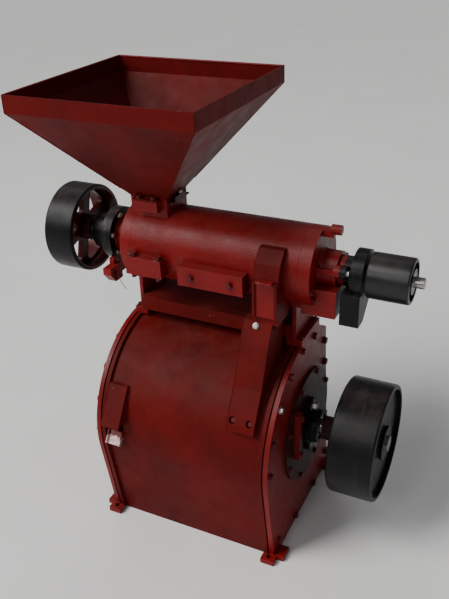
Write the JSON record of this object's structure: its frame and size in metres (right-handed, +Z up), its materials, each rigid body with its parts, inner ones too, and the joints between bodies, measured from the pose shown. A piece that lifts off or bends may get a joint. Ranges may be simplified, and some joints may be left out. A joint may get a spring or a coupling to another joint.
{
  "type": "hammer mill with hopper and hulling cylinder",
  "caption": "Red farm mill: square hopper and ribbed hulling cylinder on a D-shaped hammer mill casing, with flat-belt pulleys on both shafts.",
  "frame": {"origin": "on the floor, at the centre of the four anchor holes in the feet, in the plane of both shafts", "axes": "+X along both shafts towards the large lower pulley, +Y towards the flat back cover, +Z up"},
  "size_m": [0.951, 0.524, 1.148],
  "materials": {
    "red_enamel": "gloss red enamel over cast iron and sheet",
    "deep_red_enamel": "darker, duller red enamel",
    "black_enamel": "gloss black enamel",
    "bright_steel": "machined steel",
    "dark_steel": "oiled hardened iron",
    "zinc_fastener": "zinc plated, partly painted over",
    "gasket_rubber": "oiled felt and rubber sheet"
  },
  "bodies": {
    "frame": {"mill_wrapper": "red_enamel", "mill_back_cover": "red_enamel", "back_cover_bolts": "zinc_fastener", "mill_left_plate": "red_enamel", "mill_right_plate": "red_enamel", "casing_gaskets": "gasket_rubber", "casing_bolts": "zinc_fastener", "mill_end_cover": "deep_red_enamel", "end_cover_bolts": "zinc_fastener", "cover_clamp_bar": "red_enamel", "inlet_partition": "dark_steel", "mill_screen": "bright_steel", "mill_bearings": "black_enamel", "mill_bearing_rings": "bright_steel", "mill_bearing_bolts": "zinc_fastener", "outlet_spout": "red_enamel", "outlet_lip": "bright_steel", "feed_chute": "red_enamel", "chute_bolts": "zinc_fastener", "chute_joint_bolt": "zinc_fastener", "support_table": "red_enamel", "left_stand": "red_enamel", "right_stand": "red_enamel", "stand_bolts": "zinc_fastener", "lower_casing": "red_enamel", "upper_cover": "red_enamel", "cover_bolts": "zinc_fastener", "huller_screen": "bright_steel", "blade_holder": "red_enamel", "left_head": "red_enamel", "right_head": "red_enamel", "head_bolts": "zinc_fastener", "left_bearing": "black_enamel", "right_bearing": "black_enamel", "feed_bearing_rings": "bright_steel", "feed_bearing_bolts": "zinc_fastener", "hopper": "red_enamel", "gate_frame": "deep_red_enamel", "hopper_bolts": "zinc_fastener"},
    "rotor": {"rotor_shaft": "bright_steel", "rotor_discs": "dark_steel", "rotor_spacers": "bright_steel", "hammer_pins": "bright_steel", "shaft_collars": "deep_red_enamel", "mill_pulley": "black_enamel", "mill_pulley_key": "dark_steel"},
    "hammer_row_1": {"hammers_1": "dark_steel"},
    "hammer_row_2": {"hammers_2": "dark_steel"},
    "hammer_row_3": {"hammers_3": "dark_steel"},
    "hammer_row_4": {"hammers_4": "dark_steel"},
    "feed_rotor": {"feed_shaft": "bright_steel", "feed_screw": "dark_steel", "ribbed_roller": "dark_steel", "left_pulley": "black_enamel", "right_pulley": "black_enamel", "feed_pulley_keys": "dark_steel"},
    "gate": {"feed_gate": "dark_steel"},
    "blade": {"huller_blade": "bright_steel", "blade_screws": "zinc_fastener"},
    "outlet_slide": {"discharge_gate": "red_enamel"}
  },
  "joints": [
    {"name": "rotor_spin", "type": "hinge", "parent": "frame", "child": "rotor", "pos_m": [0, 0, 0.285], "axis": [1, 0, 0], "continuous": true},
    {"name": "feed_spin", "type": "hinge", "parent": "frame", "child": "feed_rotor", "pos_m": [0, 0, 0.747], "axis": [1, 0, 0], "continuous": true},
    {"name": "hammer_swing_1", "type": "hinge", "parent": "rotor", "child": "hammer_row_1", "pos_m": [0, 0.04667, 0.33167], "axis": [1, 0, 0], "range_deg": [-70, 70]},
    {"name": "hammer_swing_2", "type": "hinge", "parent": "rotor", "child": "hammer_row_2", "pos_m": [0, -0.04667, 0.33167], "axis": [1, 0, 0], "range_deg": [-70, 70]},
    {"name": "hammer_swing_3", "type": "hinge", "parent": "rotor", "child": "hammer_row_3", "pos_m": [0, -0.04667, 0.23833], "axis": [1, 0, 0], "range_deg": [-70, 70]},
    {"name": "hammer_swing_4", "type": "hinge", "parent": "rotor", "child": "hammer_row_4", "pos_m": [0, 0.04667, 0.23833], "axis": [1, 0, 0], "range_deg": [-70, 70]},
    {"name": "feed_gate_slide", "type": "slide", "parent": "frame", "child": "gate", "axis": [1, 0, 0], "range_m": [0, 0.08]},
    {"name": "blade_adjust", "type": "slide", "parent": "frame", "child": "blade", "axis": [0, -1, 0], "range_m": [0, 0.008]},
    {"name": "outlet_gate_slide", "type": "slide", "parent": "frame", "child": "outlet_slide", "axis": [0, 0, 1], "range_m": [0, 0.06]}
  ]
}
